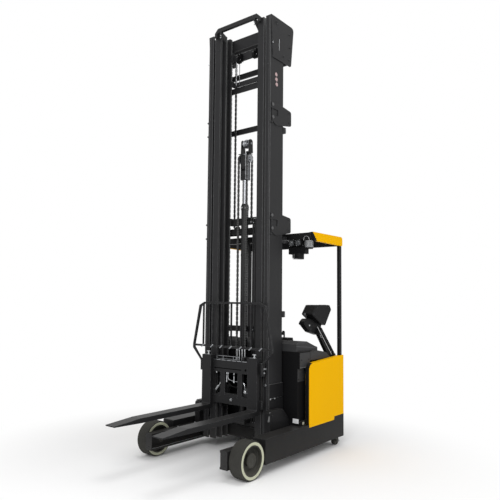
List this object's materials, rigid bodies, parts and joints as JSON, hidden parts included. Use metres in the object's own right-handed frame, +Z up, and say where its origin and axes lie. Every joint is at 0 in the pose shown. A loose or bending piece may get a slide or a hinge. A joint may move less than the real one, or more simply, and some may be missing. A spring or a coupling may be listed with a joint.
{
  "type": "stand-on reach truck",
  "caption": "Stand-on reach truck with straddle legs, a reaching three-stage mast, tilting forks, an overhead guard and an open rear operator's bay.",
  "frame": {"origin": "on the floor, midway between the fork tips and the rear face, on the truck's centre line", "axes": "+Z up, -Y towards the forks, +X the truck's left"},
  "size_m": [1.345, 2.411, 4.581],
  "materials": {
    "mast_black": "satin",
    "frame_dark": "satin",
    "body_yellow": "gloss",
    "post_black": "satin",
    "steel_bright": "brushed",
    "cylinder_dark": "gloss",
    "chain_steel": "oiled",
    "case_grey": "matt",
    "plastic_grey": "matt",
    "tread": "worn",
    "rim_cream": "satin"
  },
  "bodies": {
    "chassis": {"leg_left": "frame_dark", "leg_right": "frame_dark", "stub_axles": "steel_bright", "chassis_frame": "frame_dark", "drive_motor": "steel_bright", "battery": "case_grey", "reach_cylinder": "steel_bright", "battery_cover": "frame_dark", "side_skirts": "frame_dark", "side_armrest": "plastic_grey", "console_cowl": "plastic_grey", "side_panel_left": "body_yellow", "side_panel_right": "body_yellow", "operator_floor": "case_grey", "compartment_liner": "case_grey", "power_cover": "case_grey", "guard_frame": "post_black", "guard_fascia": "body_yellow", "guard_lamps": "frame_dark", "control_arm": "post_black", "display_head": "plastic_grey", "control_levers": "plastic_grey"},
    "load_wheel_left": {"load_tyre_left": "tread", "load_rim_left": "rim_cream"},
    "load_wheel_right": {"load_tyre_right": "tread", "load_rim_right": "rim_cream"},
    "drive_unit": {"drive_yoke": "frame_dark"},
    "drive_wheel": {"drive_tyre": "tread", "drive_rim": "rim_cream"},
    "caster": {"caster_yoke": "frame_dark"},
    "caster_roll": {"caster_wheel": "tread"},
    "steering": {"steering_dial": "plastic_grey"},
    "reach": {"reach_carriage": "frame_dark", "outer_rails": "mast_black", "outer_ties": "mast_black", "lift_cylinders": "cylinder_dark"},
    "middle": {"middle_rails": "mast_black", "middle_ties": "mast_black", "lift_rods": "steel_bright", "lift_chains": "chain_steel"},
    "inner": {"inner_rails": "mast_black", "inner_ties": "mast_black", "mast_top_bar": "mast_black", "free_lift_cylinder": "cylinder_dark"},
    "rod_head": {"free_lift_rod": "cylinder_dark", "free_lift_chains": "chain_steel"},
    "lift": {"lift_frame": "frame_dark"},
    "tilt": {"fork_frame": "frame_dark", "load_backrest": "frame_dark"},
    "fork_left_slider": {"fork_left": "frame_dark"},
    "fork_right_slider": {"fork_right": "frame_dark"}
  },
  "joints": [
    {"name": "load_wheel_left_spin", "type": "hinge", "parent": "chassis", "child": "load_wheel_left", "pos_m": [0.6025, -0.4165, 0.1715], "axis": [1, 0, 0], "continuous": true},
    {"name": "load_wheel_right_spin", "type": "hinge", "parent": "chassis", "child": "load_wheel_right", "pos_m": [-0.6025, -0.4165, 0.1715], "axis": [1, 0, 0], "continuous": true},
    {"name": "drive_steer", "type": "hinge", "parent": "chassis", "child": "drive_unit", "pos_m": [-0.25, 0.86, 0.4], "axis": [0, 0, 1], "range_deg": [-90, 90]},
    {"name": "drive_spin", "type": "hinge", "parent": "drive_unit", "child": "drive_wheel", "pos_m": [-0.25, 0.86, 0.1715], "axis": [1, 0, 0], "continuous": true},
    {"name": "caster_swivel", "type": "hinge", "parent": "chassis", "child": "caster", "pos_m": [0.6, 1.115, 0.2], "axis": [0, 0, 1], "continuous": true},
    {"name": "caster_spin", "type": "hinge", "parent": "caster", "child": "caster_roll", "pos_m": [0.6, 1.137, 0.05], "axis": [1, 0, 0], "continuous": true},
    {"name": "steering_turn", "type": "hinge", "parent": "chassis", "child": "steering", "pos_m": [0.47, 0.722, 1.318], "axis": [1, 0, 0], "continuous": true},
    {"name": "mast_reach", "type": "slide", "parent": "chassis", "child": "reach", "axis": [0, -1, 0], "range_m": [0, 0.55]},
    {"name": "middle_lift", "type": "slide", "parent": "reach", "child": "middle", "axis": [0, 0, 1], "range_m": [0, 3.2]},
    {"name": "inner_lift", "type": "slide", "parent": "middle", "child": "inner", "axis": [0, 0, 1], "range_m": [0, 3.2]},
    {"name": "rod_lift", "type": "slide", "parent": "inner", "child": "rod_head", "axis": [0, 0, 1], "range_m": [-0.215, 1.15]},
    {"name": "carriage_lift", "type": "slide", "parent": "inner", "child": "lift", "axis": [0, 0, 1], "range_m": [-0.43, 2.3]},
    {"name": "fork_tilt", "type": "hinge", "parent": "lift", "child": "tilt", "pos_m": [0, 0.13, 0.975], "axis": [1, 0, 0], "range_deg": [-4, 2]},
    {"name": "fork_left_slide", "type": "slide", "parent": "tilt", "child": "fork_left_slider", "axis": [1, 0, 0], "range_m": [-0.155, 0.025]},
    {"name": "fork_right_slide", "type": "slide", "parent": "tilt", "child": "fork_right_slider", "axis": [-1, 0, 0], "range_m": [-0.155, 0.025]}
  ],
  "couplings": [
    {"joint": "inner_lift", "follows": "middle_lift", "ratio": 1},
    {"joint": "rod_lift", "follows": "carriage_lift", "ratio": 0.5}
  ]
}
